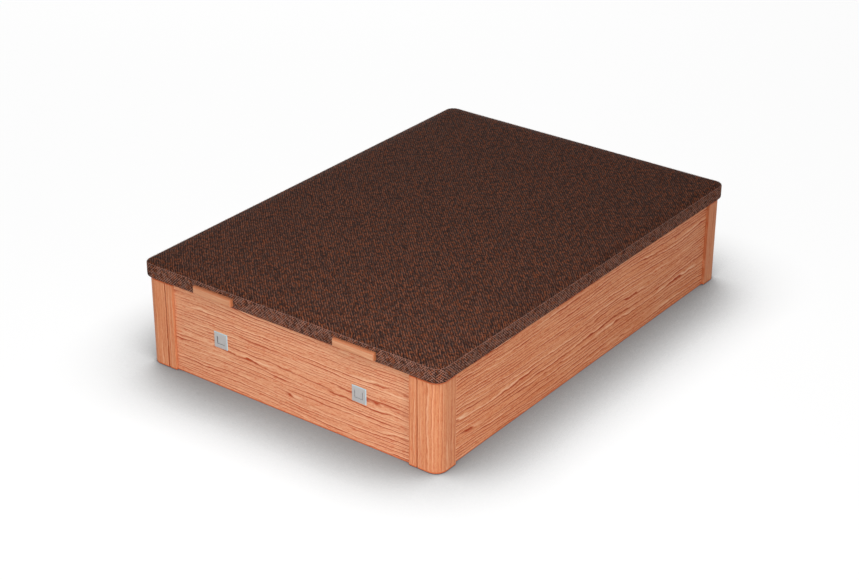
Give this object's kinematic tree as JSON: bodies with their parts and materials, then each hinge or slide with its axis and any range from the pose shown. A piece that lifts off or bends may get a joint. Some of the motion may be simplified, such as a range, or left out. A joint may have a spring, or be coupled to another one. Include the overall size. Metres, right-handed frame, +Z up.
{
  "type": "lift-up storage bed base",
  "caption": "Wooden box bed base with rounded corner posts, square vents and an upholstered lid with pull handles that lifts on rear hinges and gas struts for storage.",
  "frame": {"origin": "middle of the bed on the floor, under the centre foot", "axes": "+Z up, +Y towards the head end where the lid is hinged, +X to the right seen from the foot"},
  "size_m": [1.35, 1.915, 0.416],
  "materials": {
    "cherry_panel": "foil-wrapped board with a printed cherry grain, satin",
    "cherry_post": "rounded post and strips with a cherry grain running up, satin",
    "handle_wood": "lacquered solid wood, satin",
    "plain_wood": "sawn softwood",
    "board": "raw fibreboard",
    "zinc_steel": "zinc-plated pressed steel",
    "vent_aluminium": "brushed, satin",
    "black_plastic": "moulded",
    "buffer_rubber": "moulded",
    "frame_paint": "black powder coat on steel tube",
    "cylinder_paint": "black gloss paint on steel tube",
    "rod_chrome": "ground and plated",
    "pad_foam": "open-cell foam",
    "cover_fabric": "woven spacer mesh, brown with rust and grey threads",
    "under_cloth": "thin non-woven cloth"
  },
  "bodies": {
    "box": {"foot_panel": "cherry_panel", "head_panel": "cherry_panel", "left_panel": "cherry_panel", "right_panel": "cherry_panel", "post_foot_left": "cherry_post", "post_foot_right": "cherry_post", "post_head_left": "cherry_post", "post_head_right": "cherry_post", "stile_foot_left": "cherry_post", "stile_foot_right": "cherry_post", "stile_head_left": "cherry_post", "stile_head_right": "cherry_post", "corner_brackets": "zinc_steel", "box_screws": "zinc_steel", "cleat_foot": "plain_wood", "cleat_head": "plain_wood", "cleat_left": "plain_wood", "cleat_right": "plain_wood", "floor_rail_foot": "plain_wood", "floor_rail_middle": "plain_wood", "floor_rail_head": "plain_wood", "floor_board_foot": "board", "floor_board_head": "board", "centre_foot": "black_plastic", "post_glides": "black_plastic", "vent_frame_left": "vent_aluminium", "vent_frame_right": "vent_aluminium", "vent_plates": "vent_aluminium", "lid_buffers": "buffer_rubber", "hinge_post_leaf_left": "zinc_steel", "hinge_post_leaf_right": "zinc_steel", "hinge_pins": "zinc_steel", "strut_plate_left": "zinc_steel", "strut_plate_right": "zinc_steel", "strut_box_studs": "zinc_steel"},
    "lid": {"lid_rail_foot": "frame_paint", "lid_rail_head": "frame_paint", "lid_rail_left": "frame_paint", "lid_rail_right": "frame_paint", "lid_crossbars": "frame_paint", "deck_board": "board", "lid_foam": "pad_foam", "lid_cover": "cover_fabric", "under_cloth": "under_cloth", "handle_left": "handle_wood", "handle_right": "handle_wood", "lid_screws": "zinc_steel", "hinge_lid_leaf_left": "zinc_steel", "hinge_lid_leaf_right": "zinc_steel", "strut_lug_left": "zinc_steel", "strut_lug_right": "zinc_steel", "strut_lid_studs": "zinc_steel"},
    "strut_cylinder_left": {"strut_cylinder_left": "cylinder_paint"},
    "strut_cylinder_right": {"strut_cylinder_right": "cylinder_paint"},
    "strut_rod_left": {"strut_rod_left": "rod_chrome"},
    "strut_rod_right": {"strut_rod_right": "rod_chrome"}
  },
  "joints": [
    {"name": "lid_hinge", "type": "hinge", "parent": "box", "child": "lid", "pos_m": [0, 0.9453, 0.3512], "axis": [-1, 0, 0], "range_deg": [0, 45]},
    {"name": "strut_rod_left_pivot", "type": "hinge", "parent": "box", "child": "strut_rod_left", "pos_m": [-0.617, 0.79157, 0.09358], "axis": [-1, 0, 0], "range_deg": [0, 22.5]},
    {"name": "strut_cylinder_left_pivot", "type": "hinge", "parent": "lid", "child": "strut_cylinder_left", "pos_m": [-0.617, 0.64563, 0.3372], "axis": [-1, 0, 0], "range_deg": [-22.5, 0]},
    {"name": "strut_rod_right_pivot", "type": "hinge", "parent": "box", "child": "strut_rod_right", "pos_m": [0.617, 0.79157, 0.09358], "axis": [-1, 0, 0], "range_deg": [0, 22.5]},
    {"name": "strut_cylinder_right_pivot", "type": "hinge", "parent": "lid", "child": "strut_cylinder_right", "pos_m": [0.617, 0.64563, 0.3372], "axis": [-1, 0, 0], "range_deg": [-22.5, 0]}
  ],
  "couplings": [
    {"joint": "strut_rod_left_pivot", "follows": "lid_hinge", "ratio": 0.5},
    {"joint": "strut_cylinder_left_pivot", "follows": "lid_hinge", "ratio": -0.5},
    {"joint": "strut_rod_right_pivot", "follows": "lid_hinge", "ratio": 0.5},
    {"joint": "strut_cylinder_right_pivot", "follows": "lid_hinge", "ratio": -0.5}
  ]
}
